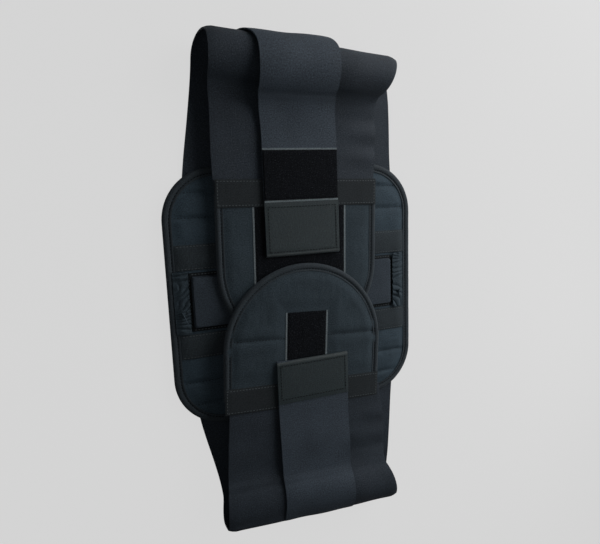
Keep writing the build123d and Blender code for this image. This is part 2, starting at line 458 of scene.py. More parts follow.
def insideRounded(x, y, halfX, halfY, corner):
    # how far a point lies inside a rounded rectangle
    dx, dy = abs(x) - (halfX - corner), abs(y) - (halfY - corner)
    if dx > 0 and dy > 0:
        return corner - math.hypot(dx, dy)
    return min(halfX - abs(x), halfY - abs(y))


def backInward(x, y):
    return insideRounded(x, y, backHigh.x, backHigh.y, back["corner"])


def backSurface(x, y):
    inward = backInward(x, y)
    seams = (0.0,) + back["channels"] + (backHigh.y - back["lastSeam"],)
    edgeUp = smooth(inward, *back["rimRise"])
    z = liningHigh - back["rimDrop"] * (1 - edgeUp)
    for a, b in zip(seams, seams[1:]):
        if a <= abs(y) < b and a > 0:
            across = (abs(y) - a) / (b - a)
            z += back["puff"] * (1 - (2 * across - 1) ** 2) * smooth(inward, *back["puffRise"])
    for seam in back["channels"][2:]:
        z -= back["groove"] * bump(abs(y), seam, back["grooveReach"]) * edgeUp
        z += back["tucks"] * ripple(x, seam, 5, 2.5) * bump(abs(y), seam + 2, 4.5) * edgeUp
    for height, stretch, size, seed in back["waves"]:
        z += height * ripple(x, y * stretch, size, seed) * edgeUp
    return z


def backUnder(x, y):
    return backLow.z + 0.5 * (1 - smooth(backInward(x, y), 2, 12))


backPanel = paddedShell(
    "backPanel", backHigh.x, -backHigh.y, backHigh.y, back["cell"],
    lambda x, y: backInward(x, y) > back["hiddenRim"], backSurface, backUnder,
)
finish(backPanel, cloths["lining"], "lining_mesh", "back", "back_backing", "back_foam", "back_lining")


# folded tape bound over a rim
edging = {"step": 3.0, "lip": 0.45, "thickness": 0.6}


def rimPath(halfX, halfY, corner):
    # outline of a rounded rectangle as evenly spaced (point, outward) pairs
    spots = []
    for cx, cy, start in ((1, 1, 0), (-1, 1, 90), (-1, -1, 180), (1, -1, 270)):
        for k in range(25):
            a = math.radians(start + 90 * k / 24)
            out = Vector((math.cos(a), math.sin(a)))
            spots.append((Vector((cx * (halfX - corner), cy * (halfY - corner))) + out * corner, out))
    return spots


def finerPath(spots, step, closed):
    # adds points on the straight runs so that the tape can pucker there too
    finer = []
    ring = spots + spots[:1] if closed else spots
    for (a, na), (b, nb) in zip(ring, ring[1:]):
        pieces = max(1, round((b - a).length / step))
        for k in range(pieces):
            t = k / pieces
            finer.append((a.lerp(b, t), na.lerp(nb, t).normalized()))
    finer.append(ring[-1])
    return finer


def bindingPiece(name, spots, profile, closed, pucker):
    # a folded tape swept round a rim; profile runs from the upper lip round to the lower lip
    spots = finerPath(spots, edging["step"], closed)
    travelled = [0.0]
    for (a, _), (b, _) in zip(spots, spots[1:]):
        travelled.append(travelled[-1] + (b - a).length)
    across = [0.0]
    for (d0, z0), (d1, z1) in zip(profile, profile[1:]):
        across.append(across[-1] + math.hypot(d1 - d0, z1 - z0))

    def place(u, v):
        row = min(len(spots) - 1, round(v * (len(spots) - 1)))
        column = round(u * (len(profile) - 1))
        spot, out = spots[row]
        d, z = profile[column]
        inside = 0 < column < len(profile) - 1
        shake = pucker * ripple(travelled[row], column, 5, 3.0) if inside else 0.0
        point = spot - out * d
        return (point.x, point.y, z + shake), (across[column], travelled[row])

    piece = gridPiece(name, len(profile) - 1, len(spots) - 1, place)
    if closed:
        mesh = bmesh.new()
        mesh.from_mesh(piece.data)
        bmesh.ops.remove_doubles(mesh, verts=mesh.verts, dist=0.01 * mm)
        mesh.to_mesh(piece.data)
        mesh.free()
    return piece, travelled[-1], across[-1]


def foldedProfile(width, stitchAt, top, bottom, roll):
    # half profile over the top, rounded at the rim, then its mirror below
    middle, lip = (top + bottom) / 2, edging["lip"]
    upper = [
        (width, top + 0.05), (width - 0.25, top + lip), (stitchAt + 1.1, top + lip),
        (stitchAt, top - 0.6), (stitchAt - 0.9, top + roll * 0.75),
        (stitchAt * 0.55, top + roll), (stitchAt * 0.3, top + roll * 0.8),
    ]
    rim = [(0.9, middle + (top - middle) * 0.75), (0.25, middle + (top - middle) * 0.4), (0.0, middle)]
    over = upper + rim
    lower = [(d, middle - (z - middle) * (middle - bottom) / (top - middle)) for d, z in reversed(over[:-1])]
    return over + [(d, max(z, bottom - roll)) for d, z in lower]


def finishBinding(piece, node, body):
    thicken(piece, edging["thickness"])
    smoothShade(piece, 50)
    finish(piece, cloths["binding"], "binding_tape", body, node)


backProfile = foldedProfile(back["bindingWidth"], back["bindingStitch"], liningHigh - back["bindingSink"],
                            backLow.z + back["bindingSink"], back["bindingRoll"])
backBinding, ringLength, tapeWidth = bindingPiece(
    "backBinding", rimPath(backHigh.x, backHigh.y, back["corner"]), backProfile, True, 0.25
)
finishBinding(backBinding, "back_binding", "back")


# flat strips: tapes and welts
strips = {"cell": 2.0, "rim": 0.9, "edgeDrop": 0.5, "hemReach": 0.8, "wave": 0.12, "narrow": 8,
          "skin": 0.85}


def stripPiece(name, x0, x1, y0, y1, base, thickness, hem=2.4, hemDepth=0.25):
    # a sewn-down strip: rounded edges, a shallow stitched line inside them, slight waves
    rim = strips["rim"]

    def height(x, y):
        inward = min(x - x0, x1 - x, y - y0, y1 - y)
        z = base(x, y) + thickness
        z -= strips["edgeDrop"] * (1 - smooth(inward, 0, rim))
        z -= hemDepth * bump(inward, hem, strips["hemReach"])
        return z + strips["wave"] * ripple(x, y, 9, 5.0)

    def spread(t, low, high):
        # the first and last rows gather at the edges
        length = high - low
        if length < strips["narrow"]:
            return low + length * t
        return low + min(max(t * (length + 2 * rim) - rim, 0.0), length)

    def place(u, v):
        x, y = spread(u, x0, x1), spread(v, y0, y1)
        return (x, y, height(x, y)), (x, y)

    columns, rows = (max(4, round(length / strips["cell"])) for length in (x1 - x0, y1 - y0))
    piece = gridPiece(name, columns, rows, place)
    thicken(piece, thickness * strips["skin"])
    smoothShade(piece, 50)
    return piece, height


tapes = {"thickness": 1.0, "hem": 1.6, "rows": 2.0, "longer": 3.5, "narrower": 0.4}
tapeSurfaces = {}
for side in ("left", "right"):
    low, high = nodeBox(f"{side}_stay_tape")
    tape, tapeSurfaces[side] = stripPiece(
        f"{side}StayTape", low.x - tapes["longer"], high.x + tapes["longer"],
        low.y + tapes["narrower"], high.y - tapes["narrower"], backSurface,
        tapes["thickness"], hem=tapes["hem"],
    )
    finish(tape, cloths["tape"], "tab_webbing", "back", f"{side}_stay_tape")

# lumbar pad, a foam block in a knitted cover
pad = {"cell": 1.5, "endInset": 1.0, "sideInset": 5.0, "corner": 3.0, "crown": 2.4, "sink": 0.5,
       "wave": 0.25, "slot": 3.2, "shift": -2.0}
padHalfX, padHalfY = padHigh.x - pad["endInset"], padHigh.y - pad["sideInset"]
padTurn = (0, (0, 0, 0), pad["shift"])


def padInward(x, y):
    return insideRounded(x, y, padHalfX, padHalfY, pad["corner"])


def padSurface(x, y):
    inward = padInward(x, y)
    rise = padHigh.z - padLow.z
    crowned = min(1.0, max(0.0, inward / pad["crown"]))
    z = padLow.z + rise * math.sqrt(max(0.0, 1 - (1 - crowned) ** 2))
    z += pad["wave"] * ripple(x, y, 16, 4.0) * crowned
    return z - pad["sink"] * (1 - smooth(inward, 2, 14)) * crowned


lumbarPad = paddedShell(
    "lumbarPad", padHalfX, -padHalfY, padHalfY, pad["cell"],
    lambda x, y: padInward(x, y) > 0, padSurface, lambda x, y: padLow.z - 0.4,
)
turnOver(lumbarPad, *padTurn)
finish(lumbarPad, cloths["pad"], "lining_mesh", "back", "lumbar_pad_cover", "lumbar_pad_foam")

# gathered cloth between the ends of the pad and the binding
gathers = {"pleats": 9, "height": 2.6, "sharpness": 0.7, "slope": 0.45, "slopeChange": 1.2, "wander": 4,
           "lift": 0.5, "start": 1.2, "tucked": 3.3, "inset": 0.5, "thickness": 0.6, "flat": (85, 28)}
gatherReach = nodeBox("lumbar_pad_gathers")[1].x


def gatherPlace(u, v):
    end = 1 if v > 0.5 else -1
    along = abs(2 * v - 1)
    x = end * (padHigh.x + gathers["start"] + along * (gatherReach - padHigh.x + gathers["tucked"]))
    y = (2 * u - 1) * (padHigh.y - gathers["inset"])
    slope = gathers["slope"] + gathers["slopeChange"] * ripple(y, end * 7, 15, 6.0)
    lean = y + (abs(x) - padHigh.x) * slope + gathers["wander"] * ripple(y, end * 9, 22, 6.5)
    pleat = abs(math.sin(math.pi * lean * gathers["pleats"] / (2 * padHalfY))) ** gathers["sharpness"]
    pleat *= 0.7 + 0.8 * abs(ripple(lean, end * 5, 9, 7.0))
    z = backSurface(x, y) + gathers["lift"]
    z += gathers["height"] * pleat * (1 - 0.75 * smooth(along, 0.5, 1.0))
    return (x, y, z), (y, x)


padGathers = gridPiece("padGathers", 120, 41, gatherPlace)
cutAway(padGathers, lambda x, y: abs(x) > padHigh.x - 2)  # nothing crosses under the pad
thicken(padGathers, gathers["thickness"])
smoothShade(padGathers, 60)
turnOver(padGathers, *padTurn)
finish(padGathers, cloths["face"], "lining_mesh", "back", "lumbar_pad_gathers")

# rows of stitches on the inner face of the back panel
tapeReach = nodeBox("left_stay_tape")[1].x + 2
tapeRows = []
for side in ("left", "right"):
    low, high = nodeBox(f"{side}_stay_tape")
    for y in (low.y + tapes["rows"], high.y - tapes["rows"]):
        tapeRows.append([(-tapeReach, y), (tapeReach, y)])


def tapeTop(x, y):
    return tapeSurfaces["left" if y > 0 else "right"](x, y) + 0.1


stitchPiece("tapeStitches", tapeRows, tapeTop, "back", lightThread, "tab_webbing")
quiltRows = []
for y in back["channels"][2:]:
    reach = backHigh.x
    while backInward(reach, y) < back["bindingWidth"] + 1:
        reach -= 1
    for way in (1, -1):
        quiltRows.append([(-reach, way * y), (reach, way * y)])
stitchPiece("channelStitches", quiltRows, above(backSurface), "back", darkThreadAndGrooveShade, "lining_mesh")
ring = rimPath(backHigh.x, backHigh.y, back["corner"])
ringLine = [tuple(spot - out * back["bindingStitch"]) for spot, out in ring + ring[:1]]
stitchPiece("backBindingStitches", [ringLine], lambda x, y: liningHigh - 0.6, "back",
            darkThreadAndGrooveShade, "binding_tape")

# stitched welts round the pad, tucked under it, in near-black cloth that paints the shadow in the gap beside
# the pad
welt = {"tucked": 7.2, "past": 2, "thickness": 0.7}
welts = []
for way in (1, -1):
    inner, outer = padHalfY - welt["tucked"], padHalfY + pad["slot"]
    middle = padHalfY + pad["slot"] / 2
    welts.append((-padHalfX - welt["past"], padHalfX + welt["past"], *sorted((way * inner, way * outer)),
                  [(-padHalfX, way * middle), (padHalfX, way * middle)]))
    inner, outer = padHalfX - welt["tucked"], padHalfX + pad["slot"]
    middle = padHalfX + pad["slot"] / 2
    welts.append((*sorted((way * inner, way * outer)), -padHalfY, padHalfY,
                  [(way * middle, -padHalfY + 1), (way * middle, padHalfY - 1)]))
for name, (x0, x1, y0, y1, line) in zip(("left", "plus", "right", "minus"), welts):
    padWelt, weltTop = stripPiece(f"{name}PadWelt", x0, x1, y0, y1, backSurface, welt["thickness"],
                                  hemDepth=0.0)
    turnOver(padWelt, *padTurn)
    finish(padWelt, cloths["slot"], "binding_tape", "back")
    stitchPiece(f"{name}WeltStitches", [line], above(weltTop), "back", lightThread, "binding_tape",
                turn=padTurn)
print("back panel made")


# outer cover of the back, with the stay pockets
cover = {"cell": 2.5, "pocketHalf": 9.0, "grooveDepth": 0.7, "grooveReach": 1.6, "edgeRise": 0.9,
         "hemX": 4, "hemY": 3}
coverHigh = nodeBox("stay_carrier")[1]
stayLines = []
for node in ("left_outer_stay", "left_inner_stay"):
    low, high = nodeBox(node)
    middle = (low.y + high.y) / 2
    stayLines += [middle - cover["pocketHalf"], middle + cover["pocketHalf"]]


def coverInward(x, y):
    return min(coverHigh.x - abs(x), coverHigh.y - abs(y))


def coverUnder(x, y):
    z = cover["edgeRise"] * (1 - smooth(coverInward(x, y), 0, 5))
    for line in stayLines:
        z += cover["grooveDepth"] * bump(abs(y), line, cover["grooveReach"])
    return z + 0.1 + 0.1 * ripple(x, y, 11, 8.0)


def coverTop(x, y):
    return coverHigh.z - 0.1 - 0.5 * (1 - smooth(coverInward(x, y), 0, 3))


backCover = paddedShell(
    "backCover", coverHigh.x, -coverHigh.y, coverHigh.y, cover["cell"],
    lambda x, y: True, coverTop, coverUnder,
)
finish(backCover, cloths["outer"], "outer_fabric", "back", "back_outer_cover", "stay_carrier")
hemX, hemY = coverHigh.x - cover["hemX"], coverHigh.y - cover["hemY"]
coverRows = [[(-hemX, way * y), (hemX, way * y)] for y in stayLines for way in (1, -1)]
coverRows.append(rectangleLine(-hemX, hemX, -hemY, hemY))
stitchPiece("coverStitches", coverRows, above(coverUnder, -0.1), "back", lightThread, "outer_fabric",
            facing=-1)
print("outer cover made")


# folded bands and straps; way is +1 on the left and -1 on the right
bands = {
    "rowStep": 2.0,
    "columnStep": 3.5,
    "foldBend": 16.0,  # how gently the fold turns back down
    "neckAt": 0.69,
    "neckReach": 0.08,
    "neckLean": 0.85,
    "restLift": 0.8,
    "wander": 1.1,
    "waveLength": 27,
    "waveStart": 2.6,
    "stiff": 19.0,  # below the fold line, where the band still follows the back
    "side_elastic": {"thickness": 1.5, "corner": 2.2},
    "pull_strap": {"thickness": 1.4, "corner": 0.4, "half": 38.0, "join": 9.0, "endThickness": 1.6},
    "left": {
        "way": 1, "panelSkew": 1.3, "share": 0.35, "flatten": (0.0, 0.0), "waves": 1.5,
        "side_elastic": {"skew": 5.0, "out": 0.0, "shift": (0, 6, 6.5, 1, -2),
                         "narrow": (0, 0, 3.3, 5, 0), "neck": 1.5},
        "pull_strap": {"skew": 1.0, "out": 3.9, "lift": 2.6, "shift": (0, -9, -24, -6.5, 0)},
    },
    "right": {
        "way": -1, "panelSkew": 3.3, "share": 0.5, "flatten": (0.65, 0.3), "waves": 0.8,
        "side_elastic": {"skew": 3.1, "out": 2.0, "shift": (0, 5.5, 2.2, 0, -1),
                         "narrow": (0, 3.5, 1.0, 0, 0), "neck": 3.0},
        "pull_strap": {"skew": 3.5, "out": 0.4, "lift": 1.6, "shift": (0, 1, 2.2, 4, 3)},
    },
}


def foldFacts(side, kind):
    # the run of one layer: straight, most of a circle, a reverse bend, and straight again
    way = bands[side]["way"]
    outLow, outHigh = nodeBox(f"{side}_side_elastic_fold")
    rearLow, rearHigh = nodeBox(f"{side}_{kind}_rear")
    frontLow, frontHigh = nodeBox(f"{side}_{kind}_front")
    bandRear = nodeBox(f"{side}_side_elastic_rear")
    foldY = max(abs(rearLow.y), abs(rearHigh.y))
    reach = max(abs(outLow.y), abs(outHigh.y))
    foldZ = outHigh.z - (reach - foldY)
    bandZ = (bandRear[0].z + bandRear[1].z) / 2
    startZ = (rearLow.z + rearHigh.z) / 2
    radius = foldZ - startZ
    bend = bands["foldBend"] - (bandZ - startZ)
    endZ = (frontLow.z + frontHigh.z) / 2
    turn = math.acos((bend + endZ - foldZ) / (radius + bend))
    startY = min(abs(rearLow.y), abs(rearHigh.y))
    return {
        "way": way, "startY": startY, "foldY": foldY, "foldZ": foldZ, "radius": radius, "bend": bend,
        "startZ": startZ, "endZ": endZ, "turn": turn, "rearRun": foldY - startY,
        "arc": radius * (math.pi + turn), "back": bend * turn,
        "endY": foldY - (radius + bend) * math.sin(turn),
        "lastY": min(abs(frontLow.y), abs(frontHigh.y)), "halfRear": rearHigh.x,
        "halfFront": nodeBox(f"{side}_seam_tape")[1].x,
    }


def foldPoint(fold, run):
    # (y, z, outward y, outward z) at a run along the layer, before the side's way is applied
    if run < fold["rearRun"]:
        return fold["startY"] + run, fold["startZ"], 0.0, -1.0
    run -= fold["rearRun"]
    if run < fold["arc"]:
        a, radius = run / fold["radius"], fold["radius"]
        outY, outZ = math.sin(a), -math.cos(a)
        return fold["foldY"] + radius * outY, fold["foldZ"] + radius * outZ, outY, outZ
    run -= fold["arc"]
    if run < fold["back"]:
        a, bend = fold["turn"] - run / fold["bend"], fold["bend"]
        outY, outZ = -math.sin(a), math.cos(a)
        return fold["endY"] - bend * outY, fold["endZ"] + bend - bend * outZ, outY, outZ
    return fold["endY"] - (run - fold["back"]), fold["endZ"], 0.0, 1.0


def alongLayer(values, t):
    # a smooth run through five values, at the rear seam, the fold's foot, its outermost line,
    # its end and the front seam
    stops = (0.0, 0.37, 0.48, 0.67, 1.0)
    for k in range(4):
        if t <= stops[k + 1] or k == 3:
            s = smooth(t, stops[k], stops[k + 1])
            return values[k] * (1 - s) + values[k + 1] * s


def layerPlace(side, kind, fold, runs, halfWidth):
    # lays out one layer: u goes across it, and v along the stretch from runs[0] to runs[1]
    settings, own = bands[side], bands[side][kind]
    whole = fold["rearRun"] + fold["arc"] + fold["back"] + fold["endY"] - fold["lastY"]
    foldSkew = math.tan(math.radians(own["skew"]))
    panelSkew = math.tan(math.radians(settings["panelSkew"]))
    middle = fold["rearRun"] + fold["radius"] * math.pi / 2
    folded = fold["rearRun"] + fold["arc"] + fold["back"]
    lean = bands["neckLean"] * own.get("neck", 0.0)

    def place(u, v):
        run = runs[0] + v * (runs[1] - runs[0])
        t = run / whole
        half = halfWidth(t)
        across = (2 * u - 1) * half
        x = across + alongLayer(own["shift"], t) - lean * bump(t, bands["neckAt"], bands["neckReach"])
        y, z, outY, outZ = foldPoint(fold, run)
        # waves along the fold, then what lifts one layer off the other
        onFold = smooth(run, fold["rearRun"] - 5, fold["rearRun"] + 15)
        off = bands["wander"] * ripple(x, t * 290, 34, 12.0) * onFold * (1 - smooth(t, 0.88, 0.97))
        waveSide = smooth(x, 25, 75) * smooth(run, folded - 12, folded + 12) * (1 - smooth(t, 0.86, 0.96))
        phase = (run - folded) * 2 * math.pi / bands["waveLength"] + bands["waveStart"]
        off += settings["waves"] * waveSide * math.sin(phase)
        off += 0.5 * settings["waves"] * smooth(-x, 20, 80) * ripple(x, run, 22, 13.0) * onFold
        outermost = smooth(run, fold["rearRun"], middle - 8) * (1 - smooth(run, folded - 8, folded + 10))
        off += own["out"] * outermost
        off += own.get("lift", 0.0) * smooth(run, middle, folded) * (1 - smooth(run, whole - 45, whole - 8))
        off -= bands[kind]["corner"] * smooth(abs(across), half - 6, half) * bump(run, middle, 22)
        if kind == "side_elastic":
            off -= 0.25 * smooth(abs(across), half - 2.5, half)  # a thin rim
        # the rear run lifts off the table here and there
        rise = bands["restLift"] * (1 + ripple(x, t * 290, 40, 14.0))
        rise *= smooth(run, 30, 60) * (1 - smooth(run, fold["rearRun"] - 25, fold["rearRun"]))
        skew = foldSkew * smooth(run, 0, middle)
        if run > middle:
            skew = foldSkew + (panelSkew - foldSkew) * smooth(run, middle, whole)
        # a flatter fold keeps its lower half and sinks above its middle
        left, right = settings["flatten"]
        flat = (left + (right - left) * smooth(x, -60, 60)) * smooth(run, middle, middle + 20)
        flat *= 1 - smooth(run, folded - 15, folded + 30)
        kept = fold["endZ"] + 2
        sunk = kept + (z - kept) * (1 - flat) if z > kept else z
        return (x, fold["way"] * (y + outY * off) - x * skew, sunk + outZ * off + rise), (across, run)

    return place


def bandHalf(fold, own):
    def half(t):
        plain = fold["halfRear"] + (fold["halfFront"] - 1.5 - fold["halfRear"]) * t
        neck = own["neck"] * bump(t, bands["neckAt"], bands["neckReach"])
        return plain - alongLayer(own["narrow"], t) - neck
    return half


def strapHalf(t):
    return bands["pull_strap"]["half"]


def turnFacesOut(piece):
    # the upper side of a cloth that lies on another is its outside
    if piece.data.polygons[len(piece.data.polygons) // 2].normal.z <= 0:
        piece.data.flip_normals()


def foldedLayer(side, kind, material, halfWidth, frontEnd):
    fold = foldFacts(side, kind)
    middle = fold["rearRun"] + fold["radius"] * math.pi / 2
    whole = fold["rearRun"] + fold["arc"] + fold["back"] + fold["endY"] - frontEnd
    pieces = []
    for part, runs in (("Rear", (0, middle)), ("Front", (middle, whole))):
        rows = round((runs[1] - runs[0]) / bands["rowStep"])
        columns = round(2 * halfWidth(0.5) / bands["columnStep"])
        name = side + ("Elastic" if kind == "side_elastic" else "Strap") + part
        piece = gridPiece(name, columns, rows, layerPlace(side, kind, fold, runs, halfWidth))
        face = min(piece.data.polygons, key=lambda g: abs(g.center.y))
        if (face.normal.z > 0) == (part == "Rear"):
            piece.data.flip_normals()
        thicken(piece, bands[kind]["thickness"], 0)
        smoothShade(piece, 50)
        setMaterials(piece, material)
        width = 2 * halfWidth(0.22) if part == "Rear" else 2 * halfWidth(0.75)
        pieces.append(piece)
    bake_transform(pieces[0])
    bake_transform(pieces[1])
    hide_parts(f"{side}_{kind}_rear")
    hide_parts(f"{side}_{kind}_fold", f"{side}_{kind}_front")


for side in ("left", "right"):
    elastic = foldFacts(side, "side_elastic")
    foldedLayer(side, "side_elastic", cloths["elastic"],
                bandHalf(elastic, bands[side]["side_elastic"]), elastic["lastY"])
    joinY = foldFacts(side, "pull_strap")["lastY"] + bands["pull_strap"]["join"]
    foldedLayer(side, "pull_strap", cloths["strap"], strapHalf, joinY)
print("bands and straps made")


# front panels
panels = {  # turn and shiftX lay each panel a little askew
    "cell": 1.6,
    "hiddenRim": 3.0,
    "rimDrop": 0.75,
    "quiltDepth": 1.7,
    "bindingWidth": 7.8,
    "bindingStitch": 5.6,
    "bindingSink": 0.6,
    "bindingRoll": 0.65,
    "tapeThickness": 1.1,
    "tapeHem": 2.0,
    "left": {"way": 1, "turn": -1.3, "shiftX": -2.0, "quilt": None, "puff": 0.7},
    "right": {"way": -1, "turn": -3.3, "shiftX": -1.0, "quilt": 44.0, "puff": 1.3},
}


def panelFacts(side):
    way = panels[side]["way"]
    low, high = nodeBox(f"{side}_front_binding")
    tip, seam = sorted((way * low.y, way * high.y))
    loopLow, loopHigh = nodeBox(f"{side}_front_loop_patch")
    return {
        "way": way, "tip": tip, "seam": seam, "half": high.x, "round": tip + high.x,
        "low": low.z, "high": high.z, "loopHalf": loopHigh.x,
        "loopLow": min(way * loopLow.y, way * loopHigh.y),
    }


def panelTurn(side, panel):
    # how far the panel lies askew, about its own middle
    middle = (0, panel["way"] * (panel["tip"] + panel["seam"]) / 2, 0)
    return panels[side]["turn"], middle, panels[side]["shiftX"]


def domeInward(panel, x, y):
    v = panel["way"] * y
    return panel["half"] - (abs(x) if v >= panel["round"] else math.hypot(x, v - panel["round"]))


def panelSurface(side, panel):
    settings = panels[side]

    def top(x, y):
        v = panel["way"] * y
        inward = domeInward(panel, x, y)
        z = panel["high"] - panels["rimDrop"] * (1 - smooth(inward, 5, 14))
        beside = smooth(abs(x), panel["loopHalf"] - 2, panel["loopHalf"] + 12)
        if settings["quilt"] is not None:
            above = 1 - smooth(v, panel["loopLow"] - 14, panel["loopLow"] - 2)
            beside = max(beside, above)
            z -= panels["quiltDepth"] * bump(v, settings["quilt"], 2.0) * beside * smooth(inward, 6, 12)
            z += 0.5 * (bump(v, settings["quilt"] - 8, 5) + bump(v, settings["quilt"] + 8, 5)) * beside
        beside *= smooth(panel["seam"] - v, 16, 30)
        z += settings["puff"] * beside * smooth(inward, 7, 17)
        z += (0.35 * ripple(x, y, 18, 21.0) + 0.2 * ripple(x * 2, y, 8, 22.0)) * beside
        return z

    def bottom(x, y):
        inward = domeInward(panel, x, y)
        return panel["low"] + 0.7 * (1 - smooth(inward, 5, 16)) + 0.15 * ripple(x, y, 15, 23.0)

    return top, bottom


# loop patches; ground is the height of the weave that the loops stand on
loops = {"cell": 0.85, "ground": 0.35, "selvedge": 1.35, "pileStart": (2.2, 3.6), "stitchInset": 2.4}


def loopPatch(name, x0, x1, y0, y1, base, thickness, plainEdges, body, node, turn):
    # loop pile with two woven edges
    def inFrom(x, y):
        # distances in from the woven edges and from the cut ones
        inX, inY = min(x - x0, x1 - x), min(y - y0, y1 - y)
        return (inX, inY) if plainEdges == "x" else (inY, inX)

    def place(u, v):
        x, y = x0 + u * (x1 - x0), y0 + v * (y1 - y0)
        woven, cut = inFrom(x, y)
        pile = smooth(woven, *loops["pileStart"]) * smooth(cut, 0.0, 0.8)
        z = base(x, y) + loops["ground"] + (thickness - loops["ground"]) * pile
        z += (0.28 * ripple(x, y, 1.7, 31.0) + 0.2 * ripple(x, y, 4.0, 32.0)) * pile
        return (x, y, z), (x, y)

    columns, rows = (round(length / loops["cell"]) for length in (x1 - x0, y1 - y0))
    piece = gridPiece(name, columns, rows, place)
    setMaterials(piece, cloths["pile"], cloths["selvedge"])
    for face in piece.data.polygons:
        woven, _ = inFrom(*(face.center.xy / mm))
        face.material_index = 1 if woven < loops["selvedge"] else 0
    thicken(piece, 0.5)
    smoothShade(piece, 60)
    if turn:
        turnOver(piece, *turn)
    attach(piece, body)
    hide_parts(node)


for side in ("left", "right"):
    panel = panelFacts(side)
    flap = f"{side}_flap"
    way = panel["way"]
    turn = panelTurn(side, panel)
    top, bottom = panelSurface(side, panel)
    y0, y1 = sorted((way * panel["tip"], way * panel["seam"]))
    body = paddedShell(
        f"{side}FrontPanel", panel["half"], y0, y1, panels["cell"],
        lambda x, y: domeInward(panel, x, y) > panels["hiddenRim"], top, bottom,
    )
    turnOver(body, *turn)
    finish(body, cloths["face"], "outer_fabric", flap,
           f"{side}_front_lining", f"{side}_front_foam", f"{side}_front_cover")

    # binding round the dome, from one end of the seam to the other
    spots = [(Vector((panel["half"], way * panel["seam"])), Vector((1, 0)))]
    for k in range(49):
        a = math.radians(180 * k / 48)
        out = Vector((math.cos(a), -way * math.sin(a)))
        spots.append((Vector((0, way * panel["round"])) + out * panel["half"], out))
    spots.append((Vector((-panel["half"], way * panel["seam"])), Vector((-1, 0))))
    sink = panels["bindingSink"]
    profile = foldedProfile(panels["bindingWidth"], panels["bindingStitch"], panel["high"] - sink,
                            panel["low"] + sink, panels["bindingRoll"])
    binding, length, width = bindingPiece(f"{side}FrontBinding", spots, profile, False, 0.2)
    if way > 0:
        binding.data.flip_normals()
    turnOver(binding, *turn)
    finishBinding(binding, f"{side}_front_binding", flap)
    rim = [tuple(s - o * panels["bindingStitch"]) for s, o in spots]
    stitchPiece(f"{side}BindingStitches", [rim], lambda x, y: panel["high"] - 0.65, flap, darkThreadAndGrooveShade,
                "binding_tape", turn=turn)

    # tape over the seam
    low, high = nodeBox(f"{side}_seam_tape")
    tape, seamTop = stripPiece(f"{side}SeamTape", low.x, high.x, low.y, high.y,
                               lambda x, y: max(panel["high"] - 0.15, top(x, y)),
                               panels["tapeThickness"], hem=panels["tapeHem"])
    turnOver(tape, *turn)
    finish(tape, cloths["seamTape"], "tab_webbing", flap, f"{side}_seam_tape")
    hem = panels["tapeHem"]
    seamRow = rectangleLine(low.x + hem, high.x - hem, low.y + hem, high.y - hem)
    stitchPiece(f"{side}SeamStitches", [seamRow], above(seamTop), flap, lightThread, "tab_webbing",
                turn=turn)

    loopLow, loopHigh = nodeBox(f"{side}_front_loop_patch")
    loopPatch(f"{side}LoopPatch", loopLow.x, loopHigh.x, loopLow.y, loopHigh.y, top, 1.0, "x", flap,
              f"{side}_front_loop_patch", turn)
    rowX = loopLow.x + loops["stitchInset"]
    patchRow = [(rowX, loopLow.y + 1), (rowX, loopHigh.y - 1)]
    patchRows = [patchRow, [(-x, y) for x, y in patchRow]]
    if panels[side]["quilt"] is not None:
        y = way * panels[side]["quilt"]
        quiltRows = [[(-panel["half"] + 9, y), (loopLow.x, y)], [(loopHigh.x, y), (panel["half"] - 9, y)]]
        stitchPiece(f"{side}QuiltStitches", quiltRows, above(top), flap, darkThreadAndGrooveShade, "outer_fabric",
                    turn=turn)
    stitchPiece(f"{side}PatchStitches", patchRows, above(top, 0.5), flap, darkThreadAndGrooveShade, "loop_pile",
                turn=turn)
print("front panels made")


